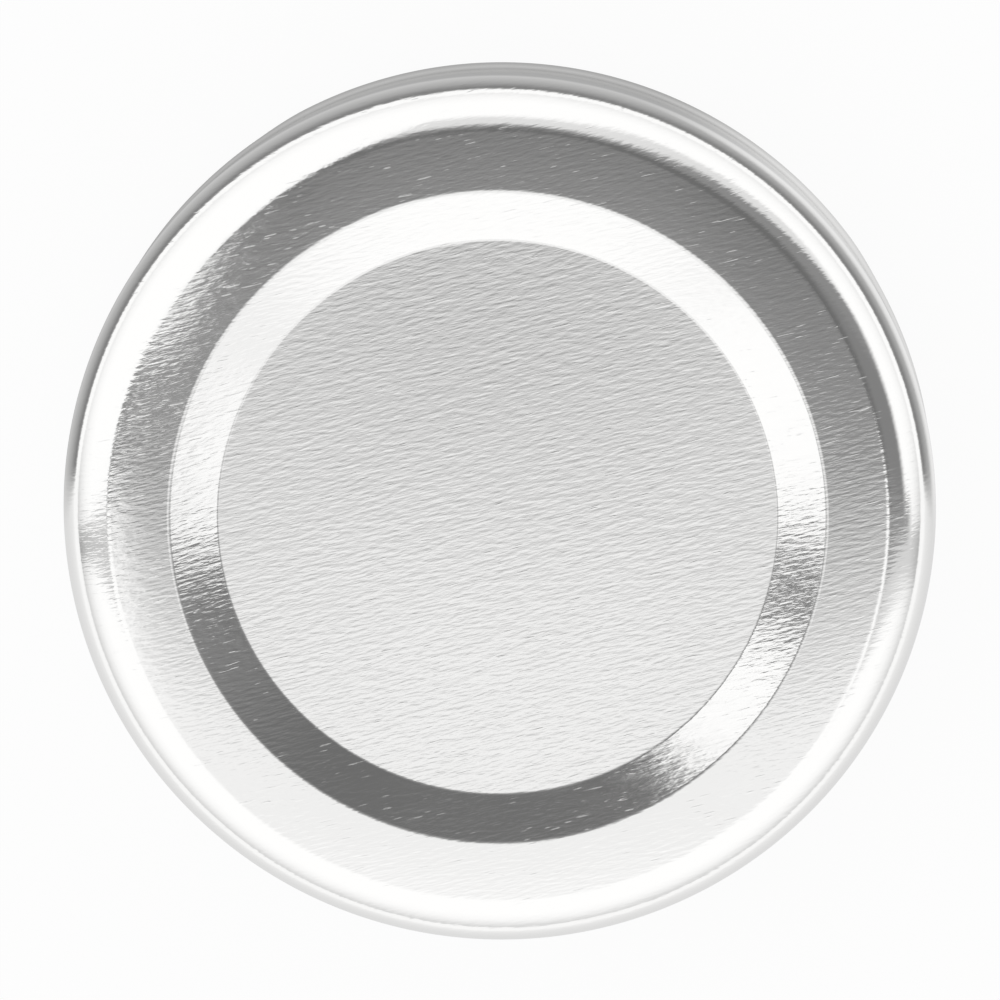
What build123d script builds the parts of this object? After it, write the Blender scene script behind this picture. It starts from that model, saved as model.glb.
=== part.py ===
"""Twist-off lid for a small glass jar.

The lid is one pressing of thin tinplate: a flat centre panel, a shallow step up to a flat land,
a large rounded shoulder, a straight skirt, and a lower edge that is rolled inward. The roll is a
round curl all the way around, except at the lugs, where it is pressed flat and reaches further in
to catch the thread of the glass. A ring of sealing compound lies in the channel under the land.

Frame: the lid rests on its curl at z = 0 with the panel up, and its axis is the Z axis.
"""

from build123d import *

import os
from math import acos, cos, degrees, radians, sin, tan

# Driving dimensions, in millimetres and degrees
sheet = 0.18  # thickness of the tinplate
overall_height = 10.5  # from the curl's lowest point to the top of the land
skirt_diameter = 45.0  # outside of the straight skirt
panel_diameter = 28.6  # flat centre panel
panel_recess = 0.45  # how far the panel lies below the land
step_width = 2.5  # the sloped step between panel and land, measured in plan
land_slope = 3.0  # fall of the land towards the shoulder
step_fillet = 1.0  # bend radius at both edges of the step
shoulder_radius = 2.9  # outside radius between land and skirt

curl_radius = 0.95  # outside radius of the rolled edge
curl_proud = 0.3  # how far the curl stands out from the skirt
curl_neck = 0.8  # hollow radius where the skirt runs out into the curl
curl_flat = 0.1  # short flat under the curl, which the lid rests on
curl_return = 0.3  # end of the sheet inside the roll

lug_count = 3
lug_width = 24.0  # angle of one lug at full depth
lug_blend = 8.0  # angle over which the curl runs into the lug
lug_azimuth = 17.0  # direction of the first lug
lug_inner_diameter = 39.6  # circle that the lug tips lie on
lug_proud = 0.22  # how far a lug's heel stands out from the skirt
lug_rise = 0.35  # height of a lug's lowest point above the curl's
lug_heel_radius = 0.6  # outside bend where the skirt turns into the lug
lug_tip_radius = 0.5  # outside bend at the lug's tip
lug_tilt = 6.0  # rise of the lug's underside towards its tip
lug_return = 0.9  # end of the sheet above the lug

hem_height = 2.6  # part of the skirt that is rolled or pressed into lugs

compound_inner_diameter = 35.2  # inner edge of the sealing ring
compound_depth = 0.8  # flat sealing face, below the underside of the land's top
compound_lip_reach = 0.12  # how far the ring's outer lip reaches down past the shoulder
compound_lip_width = 0.5  # outer lip, against the skirt
compound_hollow = 1.0  # radius between the sealing face and the outer lip
compound_edge = 0.25  # rounding of the ring's free edges

blend_steps = 4  # sections along one run from curl to lug

# Worked out from them
half_sheet = sheet / 2
skirt_radius = skirt_diameter / 2
wall_radius = skirt_radius - half_sheet  # middle of the sheet
panel_radius = panel_diameter / 2
land_radius = panel_radius + step_width
crown_height = overall_height - half_sheet
skirt_inner_radius = skirt_radius - sheet
lug_inner_radius = lug_inner_diameter / 2
pitch = 360 / lug_count
curl_angle = pitch - lug_width - 2 * lug_blend
sealing_face_height = overall_height - sheet - compound_depth


def land_height(radius):
    """Height of the middle of the sheet on the land, at a radius."""
    return crown_height - (radius - land_radius) * tan(radians(land_slope))


def land_underside(radius):
    """Height of the land's lower surface, at a radius."""
    return land_height(radius) - half_sheet / cos(radians(land_slope))


def shoulder_end():
    """Height where the inside of the shoulder meets the inside of the skirt."""
    corner = land_underside(skirt_inner_radius)
    return corner - (shoulder_radius - sheet) * tan(radians(90 - land_slope) / 2)


def radial_plane(azimuth):
    """A half-section through the axis: local x is the radius, local y is the height."""
    angle = radians(azimuth)
    return Plane(
        origin=(0, 0, 0),
        x_dir=(cos(angle), sin(angle), 0),
        z_dir=(sin(angle), -cos(angle), 0),
    )


def blend(share, curl_value, lug_value):
    """A hem size part of the way from the curl (0) to the lug (1), easing in and out."""
    eased = share * share * (3 - 2 * share)
    return curl_value + (lug_value - curl_value) * eased


def hem_section(azimuth, share):
    """Section of the skirt's lower edge: a round curl at share 0, a pressed lug at share 1."""
    heel = blend(share, curl_radius, lug_heel_radius) - half_sheet
    tip = blend(share, curl_radius, lug_tip_radius) - half_sheet
    proud = blend(share, curl_proud, lug_proud)
    lowest = blend(share, 0, lug_rise) + half_sheet
    tilt = blend(share, 0, lug_tilt)
    lug_flat = wall_radius + proud - heel - tip - lug_inner_radius - half_sheet
    flat = blend(share, curl_flat, lug_flat)
    end = blend(share, curl_return, lug_return)
    # The skirt leans out by this angle on the neck, then the heel turns it under
    lean = acos(1 - proud / (curl_neck + heel))
    neck_top = lowest + heel + (curl_neck + heel) * sin(lean)
    with BuildSketch(radial_plane(azimuth)) as section:
        with BuildLine():
            wall = Line((wall_radius, hem_height), (wall_radius, neck_top))
            neck = JernArc(wall @ 1, wall % 1, curl_neck, degrees(lean))
            heel_bend = JernArc(neck @ 1, neck % 1, heel, -90 - tilt - degrees(lean))
            under = PolarLine(heel_bend @ 1, flat, direction=heel_bend % 1)
            tip_bend = JernArc(under @ 1, under % 1, tip, -170 + tilt)
            PolarLine(tip_bend @ 1, end, direction=tip_bend % 1)
        trace(line_width=sheet)
    return section.sketch


def hem_around(azimuth, angle, share):
    """The hem at one share, revolved over an angle."""
    return revolve(hem_section(azimuth, share).face(), Axis.Z, angle, mode=Mode.PRIVATE)


def hem_run(azimuth, start_share, end_share):
    """The hem as it runs from curl to lug, or back, over one blend angle."""
    sections = []
    for step in range(blend_steps + 1):
        along = step / blend_steps
        share = start_share + (end_share - start_share) * along
        sections.append(hem_section(azimuth + along * lug_blend, share).face())
    return loft(sections, ruled=True, mode=Mode.PRIVATE)


# The pressing: panel, step, land, shoulder, skirt, then the hem below it
with BuildPart() as lid_shell:
    with BuildSketch(Plane.XZ):
        with BuildLine():
            FilletPolyline(
                (0, crown_height - panel_recess),
                (panel_radius, crown_height - panel_recess),
                (land_radius, crown_height),
                (wall_radius, land_height(wall_radius)),
                (wall_radius, hem_height),
                radius=[step_fillet, step_fillet, shoulder_radius - half_sheet],
            )
        trace(line_width=sheet)
    revolve(axis=Axis.Z)

    for lug in range(lug_count):
        middle = lug_azimuth + lug * pitch
        lug_start = middle - lug_width / 2
        lug_end = middle + lug_width / 2
        add(hem_run(lug_start - lug_blend, 0, 1))
        add(hem_around(lug_start, lug_width, 1))
        add(hem_run(lug_end, 1, 0))
        add(hem_around(lug_end + lug_blend, curl_angle, 0))

# The sealing compound, flowed into the channel: it fits the land, the shoulder and the skirt
with BuildPart() as sealing_ring:
    inner_edge = compound_inner_diameter / 2
    lip_edge = skirt_inner_radius - compound_lip_width
    lip_end = shoulder_end() - compound_lip_reach
    with BuildSketch(Plane.XZ):
        with BuildLine():
            FilletPolyline(
                (inner_edge, land_underside(inner_edge)),
                (skirt_inner_radius, land_underside(skirt_inner_radius)),
                (skirt_inner_radius, lip_end),
                (lip_edge, lip_end),
                (lip_edge, sealing_face_height),
                (inner_edge, sealing_face_height),
                radius=[0, shoulder_radius - sheet, 0, compound_edge, compound_hollow, compound_edge],
                close=True,
            )
        make_face()
    revolve(axis=Axis.Z)

lid_shell.part.label = "lid_shell"
sealing_ring.part.label = "sealing_ring"

os.makedirs("parts", exist_ok=True)
export_step(lid_shell.part, "parts/lid_shell.step")
export_step(sealing_ring.part, "parts/sealing_ring.step")
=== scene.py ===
# %% [markdown]
# # A twist-off lid for a small glass jar
#
# The real lid is stamped from one round of bright tinplate, thinner than a fifth of a millimetre.
# The press draws it into a shallow cup, sinks the centre panel a little below the land around it,
# rolls the raw lower edge inward and squeezes that roll flat in three places to make the lugs.
# A ring of soft compound is flowed into the channel underneath, where the glass rim will sit.
#
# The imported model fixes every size. This lesson builds smooth, thin-walled versions of the two
# pieces inside it, gives them their finishes, and lights them like a small object in a light tent.

# %% The fixed frame
from math import acos, atan2, cos, degrees, pi, radians, sin, tan

import bmesh
import bpy
from mathutils import Matrix, Vector


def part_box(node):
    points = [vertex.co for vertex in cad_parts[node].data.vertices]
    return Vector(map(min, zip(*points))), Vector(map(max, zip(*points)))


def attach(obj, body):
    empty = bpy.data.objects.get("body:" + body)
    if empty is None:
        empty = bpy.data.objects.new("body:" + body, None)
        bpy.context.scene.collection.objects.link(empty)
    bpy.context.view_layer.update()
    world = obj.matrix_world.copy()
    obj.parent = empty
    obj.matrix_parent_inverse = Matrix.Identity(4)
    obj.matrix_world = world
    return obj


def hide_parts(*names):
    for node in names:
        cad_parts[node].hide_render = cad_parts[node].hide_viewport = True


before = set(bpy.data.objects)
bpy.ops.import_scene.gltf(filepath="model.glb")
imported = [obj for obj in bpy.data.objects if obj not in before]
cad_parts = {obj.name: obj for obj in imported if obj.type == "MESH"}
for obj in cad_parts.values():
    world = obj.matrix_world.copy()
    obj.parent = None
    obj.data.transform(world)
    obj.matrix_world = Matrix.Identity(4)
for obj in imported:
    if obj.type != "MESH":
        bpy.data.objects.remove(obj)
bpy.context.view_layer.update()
mm = 0.001
shell_low, shell_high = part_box("lid_shell")
overall_height = shell_high.z
curl_outer_radius = (shell_high.x - shell_low.x) / 2
print(f"lid: {2 * curl_outer_radius / mm:.2f} mm across, {overall_height / mm:.2f} mm high")

# %% [markdown]
# ## The half-section of the sheet
#
# A pressed lid is a body of revolution down to its rolled edge, so its shape is one line: the
# middle of the sheet, followed from the centre of the panel out over the shoulder and down the
# skirt. The line is only straight runs and tangent bends. Walking along it with a small pen, the
# way a die maker would dimension it, keeps every bend a true arc and needs no table of points.

# %% A pen that walks straight runs and bends
def walk(start, heading, moves):
    """Points of a path in the half-section plane, as (radius, height).

    A move is ("run", length) or ("bend", radius, degrees, steps); a positive bend turns upward.
    """
    radius, height = start
    points = [(radius, height)]
    angle = radians(heading)
    for move in moves:
        if move[0] == "run":
            radius += move[1] * cos(angle)
            height += move[1] * sin(angle)
            points.append((radius, height))
            continue
        _, bend_radius, turn, steps = move
        side = 1 if turn > 0 else -1
        centre_radius = radius - side * bend_radius * sin(angle)
        centre_height = height + side * bend_radius * cos(angle)
        for step in range(1, steps + 1):
            along = angle + radians(turn) * step / steps
            radius = centre_radius + side * bend_radius * sin(along)
            height = centre_height - side * bend_radius * cos(along)
            points.append((radius, height))
        angle += radians(turn)
    return points


# %% Sizes of the pressing
sheet = 0.18 * mm
half_sheet = sheet / 2
curl_proud = 0.3 * mm
panel_radius = 14.3 * mm
step_width = 2.5 * mm
panel_recess = 0.45 * mm
step_bend = 1.0 * mm
land_slope = 3.0
shoulder_bend = 2.9 * mm - half_sheet
hem_height = 2.6 * mm

wall_radius = curl_outer_radius - curl_proud - half_sheet
land_radius = panel_radius + step_width
crown_height = overall_height - half_sheet
step_slope = degrees(atan2(panel_recess, step_width))

# A bend uses up this much of the straight run on each side of its corner
panel_cut = step_bend * tan(radians(step_slope) / 2)
crown_cut = step_bend * tan(radians(step_slope + land_slope) / 2)
shoulder_cut = shoulder_bend * tan(radians(90 - land_slope) / 2)
step_length = step_width / cos(radians(step_slope))
land_length = (wall_radius - land_radius) / cos(radians(land_slope))
corner_height = crown_height - (wall_radius - land_radius) * tan(radians(land_slope))
wall_length = corner_height - shoulder_cut - hem_height

top_section = walk(
    (0.0, crown_height - panel_recess),
    0,
    [
        ("run", panel_radius / 2),
        ("run", panel_radius / 2 - panel_cut),
        ("bend", step_bend, step_slope, 6),
        ("run", step_length - panel_cut - crown_cut),
        ("bend", step_bend, -step_slope - land_slope, 6),
        ("run", land_length - crown_cut - shoulder_cut),
        ("bend", shoulder_bend, land_slope - 90, 28),
        ("run", wall_length),
    ],
)
print(f"section: {len(top_section)} points, skirt ends at {top_section[-1][1] / mm:.2f} mm")

# %% [markdown]
# ## The rolled edge and its lugs
#
# The edge of the sheet is rolled into a curl. Where a lug is needed the curl is pinched: it
# flattens, rises a little and reaches further in. One recipe covers both, with a share of 0 for
# the round curl and 1 for the finished lug, so the walk around the rim can ease from one to the
# other exactly as the pinched metal does.

# %% Sizes of the curl and the lugs
curl_radius = 0.95 * mm
curl_flat = 0.1 * mm
curl_end = 0.3 * mm
neck_bend = 0.8 * mm
inward_turn = 170

lug_heel_radius = 0.6 * mm
lug_tip_radius = 0.5 * mm
lug_proud = 0.22 * mm
lug_lift = 0.35 * mm
lug_tilt = 6.0
lug_end = 0.9 * mm
lug_inner_radius = 19.8 * mm
lug_count = 3
lug_azimuth = 17.0
lug_width = 24.0
lug_blend = 8.0
print(f"{lug_count} lugs of {lug_width:.0f} degrees, eased over {lug_blend:.0f} at each side")


# %% Section of the hem between curl and lug
def hem_walk(share):
    """The skirt's lower edge at one share of the way from curl to lug."""

    def shared(curl_value, lug_value):
        return curl_value + (lug_value - curl_value) * share

    heel = shared(curl_radius, lug_heel_radius) - half_sheet
    tip = shared(curl_radius, lug_tip_radius) - half_sheet
    proud = shared(curl_proud, lug_proud)
    lowest = lug_lift * share + half_sheet
    tilt = lug_tilt * share
    lug_flat = wall_radius + proud - heel - tip - lug_inner_radius - half_sheet
    flat = shared(curl_flat, lug_flat)
    end = shared(curl_end, lug_end)
    lean = degrees(acos(1 - proud / (neck_bend + heel)))
    neck_top = lowest + heel + (neck_bend + heel) * sin(radians(lean))
    return walk(
        (wall_radius, hem_height),
        -90,
        [
            ("run", hem_height - neck_top),
            ("bend", neck_bend, lean, 4),
            ("bend", heel, -90 - tilt - lean, 12),
            ("run", flat),
            ("bend", tip, tilt - inward_turn, 14),
            ("run", end),
        ],
    )


def lug_share(azimuth):
    """How far the curl is pinched into a lug at an azimuth in degrees, eased in and out."""
    pitch = 360 / lug_count
    off = abs((azimuth - lug_azimuth + pitch / 2) % pitch - pitch / 2)
    share = min(max((lug_width / 2 + lug_blend - off) / lug_blend, 0.0), 1.0)
    return share * share * (3 - 2 * share)


# %% [markdown]
# ## Spinning the sheet
#
# The section is spun once around the axis. Each point of the section carries its row number with
# it through the spin, so afterwards the rows of the hem can be laid on the pinched section for
# their own azimuth. Solidify then gives the surface the thickness of the tinplate on both sides of
# the middle line, and the raw edge of the sheet shows inside the curl as it does on a real lid.

# %% Helpers: spin a section, and finish a mesh as a piece
spin_steps = 480
merge_distance = 1e-7


def spun(section):
    """A bmesh of the section turned once around Z; every vertex keeps its row number."""
    mesh = bmesh.new()
    row = mesh.verts.layers.int.new("row")
    previous = None
    for number, (radius, height) in enumerate(section):
        vertex = mesh.verts.new((radius, 0, height))
        vertex[row] = number
        if previous:
            mesh.edges.new((previous, vertex))
        previous = vertex
    bmesh.ops.spin(
        mesh,
        geom=mesh.verts[:] + mesh.edges[:],
        cent=(0, 0, 0),
        axis=(0, 0, 1),
        angle=2 * pi,
        steps=spin_steps,
        use_merge=True,
    )
    bmesh.ops.remove_doubles(mesh, verts=mesh.verts, dist=merge_distance)
    return mesh


def finished_piece(mesh, name, node):
    """The bmesh as a smooth-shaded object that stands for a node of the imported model."""
    bmesh.ops.recalc_face_normals(mesh, faces=mesh.faces)
    for face in mesh.faces:
        face.smooth = True
    data = bpy.data.meshes.new(name)
    mesh.to_mesh(data)
    mesh.free()
    piece = bpy.data.objects.new(name, data)
    bpy.context.scene.collection.objects.link(piece)
    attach(piece, "root")
    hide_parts(node)
    print(f"{name}: {len(data.polygons)} faces")
    return piece


# %% The shell: spun, then its hem laid on the pinched sections
first_hem_row = len(top_section)
shell_mesh = spun(top_section + hem_walk(0)[1:])
row_layer = shell_mesh.verts.layers.int["row"]
hem_sections = {}
for vertex in shell_mesh.verts:
    if vertex[row_layer] < first_hem_row:
        continue
    azimuth = round(degrees(atan2(vertex.co.y, vertex.co.x)), 4)
    if azimuth not in hem_sections:
        hem_sections[azimuth] = hem_walk(lug_share(azimuth))
    radius, height = hem_sections[azimuth][vertex[row_layer] - first_hem_row + 1]
    vertex.co = (radius * cos(radians(azimuth)), radius * sin(radians(azimuth)), height)

# %% The shell: its sheet thickness
shell = finished_piece(shell_mesh, "tinplate_shell", "lid_shell")
# The open sheet has no inside of its own, so the panel's first face decides which way is out
if shell.data.polygons[0].normal.z < 0:
    shell.data.flip_normals()
thickness = shell.modifiers.new("sheet thickness", "SOLIDIFY")
thickness.thickness = sheet
thickness.offset = 0
thickness.use_even_offset = True
print(f"sheet: {sheet / mm:.2f} mm thick")

# %% [markdown]
# ## The sealing ring
#
# The compound is flowed in wet while the lid spins upside down, and then baked. It levels itself
# into a flat face for the glass rim, climbs the skirt in a small hollow, and rounds off at its
# free edges. That is again one closed section for the same pen: along under the land, round the
# inside of the shoulder, then back over the lip and the sealing face.

# %% Sizes of the sealing ring
compound_inner_radius = 17.6 * mm
compound_depth = 0.8 * mm
compound_lip_reach = 0.12 * mm
compound_lip_width = 0.5 * mm
compound_hollow = 1.0 * mm
compound_edge = 0.25 * mm

skirt_inner_radius = wall_radius - half_sheet
under_shoulder = shoulder_bend - half_sheet
under_cut = under_shoulder * tan(radians(90 - land_slope) / 2)
sealing_face = overall_height - sheet - compound_depth
land_fall = (compound_inner_radius - land_radius) * tan(radians(land_slope))
under_land = overall_height - sheet - land_fall
under_land_length = (skirt_inner_radius - compound_inner_radius) / cos(radians(land_slope))
lip_inner_radius = skirt_inner_radius - compound_lip_width
face_width = lip_inner_radius - compound_hollow - compound_inner_radius - compound_edge
print(f"sealing face: {face_width / mm:.2f} mm wide, {sealing_face / mm:.2f} mm up")

# %% The sealing ring
lid_side = walk(
    (compound_inner_radius, under_land),
    -land_slope,
    [
        ("run", under_land_length - under_cut),
        ("bend", under_shoulder, land_slope - 90, 28),
        ("run", compound_lip_reach),
    ],
)
lip_end = lid_side[-1][1]
jar_side = walk(
    lid_side[-1],
    180,
    [
        ("run", compound_lip_width - compound_edge),
        ("bend", compound_edge, -90, 6),
        ("run", sealing_face - lip_end - compound_edge - compound_hollow),
        ("bend", compound_hollow, 90, 14),
        ("run", face_width),
        ("bend", compound_edge, -90, 6),
        ("run", under_land - sealing_face - compound_edge),
    ],
)
ring = finished_piece(spun(lid_side + jar_side[1:]), "compound_ring", "sealing_ring")
print(f"lip reaches down to {lip_end / mm:.2f} mm")

# %% [markdown]
# ## Numbers as nodes
#
# The finishes and the light are formulas, and a shader says a formula with Math, Map Range, Mix and
# Color Ramp nodes. Wiring each one by hand hides what is meant, so four small functions do it. They
# take a node's output or a plain number alike, and return an output for the next one.

# %% Helpers: a sum, an ease, a blend
def number(tree, operation, *values):
    """A Math node; each value is a number or a socket to link."""
    node = tree.nodes.new("ShaderNodeMath")
    node.operation = operation
    for socket, value in zip(node.inputs, values):
        if isinstance(value, (int, float)):
            socket.default_value = value
        else:
            tree.links.new(value, socket)
    return node.outputs[0]


def ease(tree, value, start, end):
    """0 at start and before it, 1 at end and beyond, with a smooth run between."""
    node = tree.nodes.new("ShaderNodeMapRange")
    node.interpolation_type = "SMOOTHSTEP"
    node.inputs["From Min"].default_value = start
    node.inputs["From Max"].default_value = end
    tree.links.new(value, node.inputs["Value"])
    return node.outputs["Result"]


def between(tree, share, first, second):
    """first where share is 0, second where it is 1."""
    node = tree.nodes.new("ShaderNodeMix")
    float_sockets = (node.inputs[0], node.inputs[2], node.inputs[3])
    for socket, value in zip(float_sockets, (share, first, second)):
        if isinstance(value, (int, float)):
            socket.default_value = value
        else:
            tree.links.new(value, socket)
    return node.outputs[0]


# %% Helper: a graded brightness
def graded(tree, value, stops):
    """A brightness that runs from stop to stop, given as {value: brightness}."""
    low, high = min(stops), max(stops)
    brightest = max(stops.values())
    node = tree.nodes.new("ShaderNodeValToRGB")
    ramp = node.color_ramp
    for index, (place, brightness) in enumerate(sorted(stops.items())):
        position = (place - low) / (high - low)
        element = ramp.elements[index] if index < 2 else ramp.elements.new(position)
        element.position = position
        element.color = (brightness / brightest,) * 3 + (1,)
    offset = number(tree, "SUBTRACT", value, low)
    tree.links.new(number(tree, "DIVIDE", offset, high - low), node.inputs[0])
    return number(tree, "MULTIPLY", node.outputs["Color"], brightest)


# %% [markdown]
# ## Bright tinplate
#
# The strip is rolled between ground steel rolls before it is tinned, and they leave a fine one-way
# grain in it: low ridges under a millimetre long and a fifth of that wide, all running the same
# way across the whole pressing. Tin is a bright mirror on top of them. So the metal is not
# made dull: it stays nearly a mirror, and the grain tilts it a degree or so either way. Where the
# tent fades, that turns into streaks, and where the tent is even it can hardly be seen.

# %% Helpers: noise and relief
def noise(tree, vector, size, detail):
    """A noise with features of the given size along each axis, in metres."""
    scale = tree.nodes.new("ShaderNodeMapping")
    scale.inputs["Scale"].default_value = [1 / length for length in size]
    tree.links.new(vector, scale.inputs["Vector"])
    texture = tree.nodes.new("ShaderNodeTexNoise")
    texture.inputs["Scale"].default_value = 1
    texture.inputs["Detail"].default_value = detail
    tree.links.new(scale.outputs["Vector"], texture.inputs["Vector"])
    return texture.outputs["Fac"]


def bump(tree, height, distance, normal=None):
    """Relief of the given height in metres, on top of an earlier relief."""
    node = tree.nodes.new("ShaderNodeBump")
    node.inputs["Strength"].default_value = 1
    node.inputs["Distance"].default_value = distance
    tree.links.new(height, node.inputs["Height"])
    if normal:
        tree.links.new(normal, node.inputs["Normal"])
    return node.outputs["Normal"]


# %% Material: tinplate
grain_angle = 14.0
grain_size = (0.78 * mm, 0.18 * mm, 0.7 * mm)
grain_height = 0.0069 * mm
scratch_size = (1.1 * mm, 0.1 * mm, 0.9 * mm)
scratch_depth = 0.0025 * mm
wave_height = 0.006 * mm
tin_roughness = (0.05, 0.13)


def tinplate_material():
    """Near-mirror tin over a one-way rolled grain, with a few scratches along it."""
    material = bpy.data.materials.new("tinplate")
    material.use_nodes = True
    tree = material.node_tree
    shader = tree.nodes["Principled BSDF"]
    shader.inputs["Base Color"].default_value = (0.86, 0.857, 0.85, 1)
    shader.inputs["Metallic"].default_value = 1
    place = tree.nodes.new("ShaderNodeTexCoord")
    turn = tree.nodes.new("ShaderNodeMapping")
    turn.inputs["Rotation"].default_value = (0, 0, radians(-grain_angle))
    tree.links.new(place.outputs["Object"], turn.inputs["Vector"])
    along_grain = turn.outputs["Vector"]
    waves = noise(tree, place.outputs["Object"], (6 * mm, 6 * mm, 6 * mm), 1)
    grain = noise(tree, along_grain, grain_size, 2)
    marks = noise(tree, along_grain, scratch_size, 1)
    scratches = ease(tree, marks, 0.68, 0.8)
    relief = bump(tree, waves, wave_height)
    relief = bump(tree, grain, grain_height, relief)
    relief = bump(tree, scratches, scratch_depth, relief)
    tree.links.new(relief, shader.inputs["Normal"])
    streaks = noise(tree, along_grain, (2.4 * mm, 0.3 * mm, 1.5 * mm), 2)
    rough = between(tree, streaks, *tin_roughness)
    tree.links.new(rough, shader.inputs["Roughness"])
    return material


shell.data.materials.append(tinplate_material())
print(f"tinplate: grain {grain_size[0] / mm} by {grain_size[1] / mm} mm, {grain_angle} degrees up")

# %% [markdown]
# ## Sealing compound
#
# The compound is a soft, filled plastic, off-white and satin, a little uneven from the way it
# flowed: faint clouds in the colour, slow waves around the ring and a fine orange-peel skin.

# %% Material: compound
compound_shade = (0.70, 0.68, 0.62, 1)
compound_light = (0.79, 0.775, 0.72, 1)
cloud_size = (2.2 * mm, 2.2 * mm, 2.2 * mm)
flow_size = (3 * mm, 3 * mm, 3 * mm)
flow_height = 0.08 * mm
skin_size = (0.25 * mm, 0.25 * mm, 0.25 * mm)
skin_height = 0.012 * mm


def compound_material():
    """Off-white satin plastic with faint clouds, flow waves and an orange-peel skin."""
    material = bpy.data.materials.new("compound")
    material.use_nodes = True
    tree = material.node_tree
    shader = tree.nodes["Principled BSDF"]
    place = tree.nodes.new("ShaderNodeTexCoord").outputs["Object"]
    clouds = tree.nodes.new("ShaderNodeValToRGB")
    clouds.color_ramp.elements[0].position = 0.35
    clouds.color_ramp.elements[0].color = compound_shade
    clouds.color_ramp.elements[1].position = 0.7
    clouds.color_ramp.elements[1].color = compound_light
    tree.links.new(noise(tree, place, cloud_size, 3), clouds.inputs["Fac"])
    tree.links.new(clouds.outputs["Color"], shader.inputs["Base Color"])
    rough = between(tree, noise(tree, place, (1.1 * mm, 1.1 * mm, 1.1 * mm), 2), 0.32, 0.5)
    tree.links.new(rough, shader.inputs["Roughness"])
    relief = bump(tree, noise(tree, place, flow_size, 1), flow_height)
    relief = bump(tree, noise(tree, place, skin_size, 2), skin_height, relief)
    tree.links.new(relief, shader.inputs["Normal"])
    return material


ring.data.materials.append(compound_material())
print("compound: off-white, satin")

# %% [markdown]
# ## The light tent
#
# Bright metal has hardly any colour of its own: what it shows is the room around it. This lid is
# shown inside a light tent, a box of white cloth lit from outside. The tent has an opening above,
# which the metal shows as its dark land and the dark half of its step. A seam runs across it. Lamps
# and cloth panels could be modelled, but a room is only a brightness for each direction, so the
# tent is one formula in the world shader. It uses two lean angles from straight up: across to +X,
# and back to +Y. A third angle, lean back, stays level on the way to the horizon.

# %% World: the direction as angles
white_cloth = 1.165

world = bpy.data.worlds.new("light_tent")
bpy.context.scene.world = world
world.use_nodes = True
tree = world.node_tree
tree.nodes.clear()
direction = tree.nodes.new("ShaderNodeTexCoord")
axes = tree.nodes.new("ShaderNodeSeparateXYZ")
tree.links.new(direction.outputs["Generated"], axes.inputs[0])
to_x, to_y, to_z = axes.outputs


def angle_node(operation, *values):
    """An inverse function of the direction, in degrees."""
    return number(tree, "MULTIPLY", number(tree, operation, *values), degrees(1))


across = angle_node("ARCTAN2", to_x, to_z)
back = angle_node("ARCTAN2", to_y, to_z)
lean_back = angle_node("ARCSINE", to_y)
lean_from_up = angle_node("ARCCOSINE", to_z)
print(f"tent: {len(tree.nodes)} nodes turn a direction into angles")

# %% [markdown]
# ### The middle of the tent
#
# Straight above the lid the front cloth fades slowly into the opening. A little to either side the
# fade lies further forward, because the opening's edge is bowed. The opening itself is nearly dark.
# It ends further back on the right, and the cloth behind it starts a little dim.

# %% World: the middle
bow_middle = -1.6
bow_reach = 3.9
dim_cloth = 0.86
dark_opening = 0.17
side_opening = 0.25
deep_opening = 0.29

off_middle = number(tree, "ABSOLUTE", number(tree, "SUBTRACT", across, bow_middle))
bow = number(tree, "MULTIPLY", ease(tree, off_middle, 3.5, 7.5), ease(tree, back, -21, -15))
faded_back = number(tree, "MULTIPLY_ADD", bow, bow_reach, back)
front_fade = graded(
    tree,
    faded_back,
    {
        -30: white_cloth,
        -23: white_cloth,
        -18: 1.0,
        -13: 1.0,
        -10.8: 1.07,
        -8.3: 0.8,
        -5.5: 0.62,
        -2: 0.31,
        2: 0.27,
        8: 0.17,
    },
)

rear_edge = number(tree, "MULTIPLY_ADD", ease(tree, across, 2, 25), -10, back)
cloth_behind = between(tree, ease(tree, rear_edge, 30, 40), dim_cloth, white_cloth)
opening = between(tree, ease(tree, across, 14, 26), dark_opening, side_opening)
opening = between(tree, ease(tree, back, 9, 16), opening, deep_opening)
behind = between(tree, ease(tree, rear_edge, 15, 23), opening, cloth_behind)
behind = between(tree, ease(tree, across, 45, 56), behind, white_cloth)
centre = between(tree, ease(tree, back, 6, 9), front_fade, behind)
print(f"opening: {dark_opening} bright in a cloth of {white_cloth}")

# %% [markdown]
# ### The seam and the sides
#
# To the sides the front cloth ends sharply at the seam, which runs a little askew and lies further
# forward at its ends. Far to the right the cloth dims before it ends. On the left the cloth starts
# again behind the seam, and there the metal's step shows a bright patch.

# %% World: the seam and the sides
seam_slant = -0.03
seam_end_shift = 5.2
dark_seam, right_seam, left_seam = 0.2, 0.34, 0.6
dimmed_cloth = 0.76

askew = number(tree, "MULTIPLY_ADD", across, seam_slant, lean_back)
far_left = ease(tree, across, -19, -23)
far_right = ease(tree, across, 16, 20)
seam_back = number(tree, "MULTIPLY_ADD", number(tree, "ADD", far_left, far_right), seam_end_shift, askew)
behind_seam = ease(tree, seam_back, -2.9, -1.9)

seam_tone = between(tree, far_left, dark_seam, left_seam)
seam_tone = between(tree, far_right, seam_tone, right_seam)
seam_tone = between(tree, ease(tree, across, 55, 70), seam_tone, white_cloth)
dimmed = number(tree, "MULTIPLY", far_right, ease(tree, lean_back, -20, -14))
front_cloth = between(tree, dimmed, white_cloth, dimmed_cloth)
past_seam = between(tree, behind_seam, seam_tone, behind)
sides = between(tree, ease(tree, seam_back, -5.9, -6.9), past_seam, front_cloth)

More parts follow.
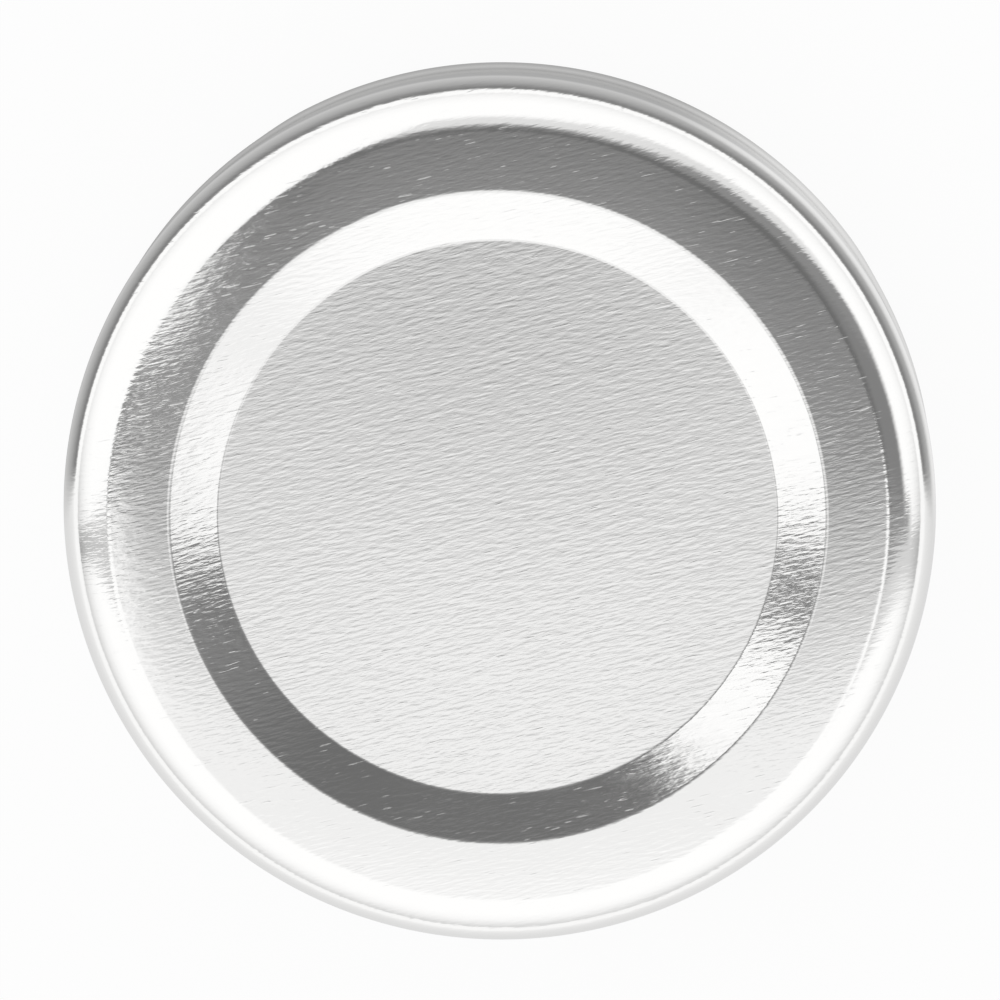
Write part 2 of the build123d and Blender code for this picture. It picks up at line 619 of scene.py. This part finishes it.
is_side = ease(tree, number(tree, "ABSOLUTE", across), 12, 14)
is_left = number(tree, "MULTIPLY", ease(tree, across, -10.2, -11.4), behind_seam)
tent_value = between(tree, is_side, centre, sides)
tent_value = between(tree, is_left, tent_value, white_cloth)
print(f"seam: {dark_seam} in the middle, {left_seam} on the left, {right_seam} on the right")

# %% [markdown]
# ### Down to the horizon, and what the camera sees
#
# Low down the cloth gets less light, so it dims towards the horizon, a little later at the back.
# The camera itself looks past the lid at plain white, and only the metal sees the tent.

# %% World: the horizon and the camera's white
low_down = number(tree, "MULTIPLY_ADD", ease(tree, lean_back, -10, 10), -12, lean_from_up)
dimming = graded(tree, low_down, {56: 1.0, 68: 0.95, 78: 0.84, 90: 0.64})
tent_value = number(tree, "MULTIPLY", tent_value, dimming)

sight = tree.nodes.new("ShaderNodeLightPath")
seen_value = between(tree, sight.outputs["Is Camera Ray"], tent_value, 1.0)
glow = tree.nodes.new("ShaderNodeBackground")
glow.inputs["Color"].default_value = (1, 1, 1, 1)
tree.links.new(seen_value, glow.inputs["Strength"])
output = tree.nodes.new("ShaderNodeOutputWorld")
tree.links.new(glow.outputs[0], output.inputs[0])
print(f"tent: {len(tree.nodes)} nodes in all")

# %% [markdown]
# ## The floor
#
# The lid stands on a plain pale floor, far larger than the view. To the camera it is white with a
# soft shadow, so most of what the camera sees is glow and a small part is lit. The skirt mirrors
# the floor close around the lid, so mirror rays see the floor glow with a painted brightness, graded
# by the distance from the lid. There is painted shade close around the lid, deeper behind than in
# front, a painted dark band further behind, and painted light near the lid at the back right.

# %% Floor: the sheet
floor_size = 6.0
floor_mesh = bmesh.new()
bmesh.ops.create_grid(floor_mesh, x_segments=1, y_segments=1, size=floor_size / 2)
floor_data = bpy.data.meshes.new("floor")
floor_mesh.to_mesh(floor_data)
floor_mesh.free()
floor = bpy.data.objects.new("floor", floor_data)
bpy.context.scene.collection.objects.link(floor)
print(f"floor: {floor_size:.0f} m square")

# %% Floor: the painted shade that the metal mirrors
floor_material = bpy.data.materials.new("floor")
floor.data.materials.append(floor_material)
floor_material.use_nodes = True
tree = floor_material.node_tree
tree.nodes.clear()
place = tree.nodes.new("ShaderNodeTexCoord")
length = tree.nodes.new("ShaderNodeVectorMath")
length.operation = "LENGTH"
tree.links.new(place.outputs["Object"], length.inputs[0])
radius = length.outputs["Value"]
in_mm = number(tree, "MULTIPLY", radius, 1 / mm)
axes = tree.nodes.new("ShaderNodeSeparateXYZ")
tree.links.new(place.outputs["Object"], axes.inputs[0])
floor_x, floor_y, _ = axes.outputs

# Painted shade for mirror rays: the floor glows darker close around the lid, and in a dark band behind
# it
front_painted_shade = graded(tree, in_mm, {23: 0.72, 26: 0.78, 36: 0.86, 58: 1.0, 70: 1.1})
back_painted_shade = graded(
    tree, in_mm, {23: 0.42, 26: 0.62, 31: 0.52, 40: 0.36, 50: 0.24, 62: 0.3, 76: 1.15}
)
# Painted light: the painted shade behind the lid is lifted near the lid on the right
on_right = ease(tree, floor_x, 8 * mm, 18 * mm)
far_out = ease(tree, radius, 28 * mm, 34 * mm)
near_right_painted_light = number(tree, "MAXIMUM", number(tree, "SUBTRACT", on_right, far_out), 0.0)
back_painted_shade = number(tree, "ADD", back_painted_shade, number(tree, "MULTIPLY", near_right_painted_light, 0.3))
painted_shade_mirrored = between(tree, ease(tree, floor_y, -3 * mm, 2 * mm), front_painted_shade, back_painted_shade)
print(f"floor: {len(tree.nodes)} nodes for the mirrored tone")

# %% Floor: what the camera sees
camera_glow = 0.92
floor_colour = (0.85, 0.85, 0.85, 1)

sight = tree.nodes.new("ShaderNodeLightPath")
is_camera = sight.outputs["Is Camera Ray"]
diffuse = tree.nodes.new("ShaderNodeBsdfDiffuse")
diffuse.inputs["Color"].default_value = floor_colour
glow = tree.nodes.new("ShaderNodeEmission")
# Mirror rays see the floor glow with the painted shade; the camera sees plain white glow
tree.links.new(between(tree, is_camera, painted_shade_mirrored, 1.0), glow.inputs["Strength"])
seen_glow = number(tree, "MULTIPLY", is_camera, camera_glow)
glow_share = number(tree, "MAXIMUM", seen_glow, sight.outputs["Is Glossy Ray"])
mix = tree.nodes.new("ShaderNodeMixShader")
tree.links.new(glow_share, mix.inputs[0])
tree.links.new(diffuse.outputs[0], mix.inputs[1])
tree.links.new(glow.outputs[0], mix.inputs[2])
output = tree.nodes.new("ShaderNodeOutputMaterial")
tree.links.new(mix.outputs[0], output.inputs[0])
print(f"floor: {camera_glow:.0%} glow to the camera, the rest lit")

# %% [markdown]
# ## The camera
#
# The lid is seen from nearly straight above, a hand's length and a half away. The camera leans a
# few degrees towards the back, so the far skirt shows as a narrow crescent. Its place is worked out
# from that lean and heading, and its lens from the width of the view at the origin.

# %% Camera
camera_distance = 259.7 * mm
camera_lean = 8.3
camera_heading = 78.6
frame_width = 53.08 * mm
aim_right = -0.153 * mm
aim_up = -0.44 * mm
lean = radians(camera_lean)
heading = radians(camera_heading)
to_camera = Vector((sin(lean) * cos(heading), sin(lean) * sin(heading), cos(lean)))
right = Vector((0, 1, 0)).cross(to_camera).normalized()
up = to_camera.cross(right)
sensor_width = 36

camera_data = bpy.data.cameras.new("camera")
camera_data.sensor_width = sensor_width
camera_data.lens = sensor_width * camera_distance / frame_width
camera = bpy.data.objects.new("camera", camera_data)
camera.location = right * aim_right + up * aim_up + to_camera * camera_distance
camera.rotation_euler = Matrix((right, up, to_camera)).transposed().to_euler()
bpy.context.scene.collection.objects.link(camera)
bpy.context.scene.camera = camera
bpy.context.scene.view_settings.view_transform = "Standard"
print(f"camera: {camera_distance / mm:.0f} mm away, lens {camera_data.lens:.0f} mm")
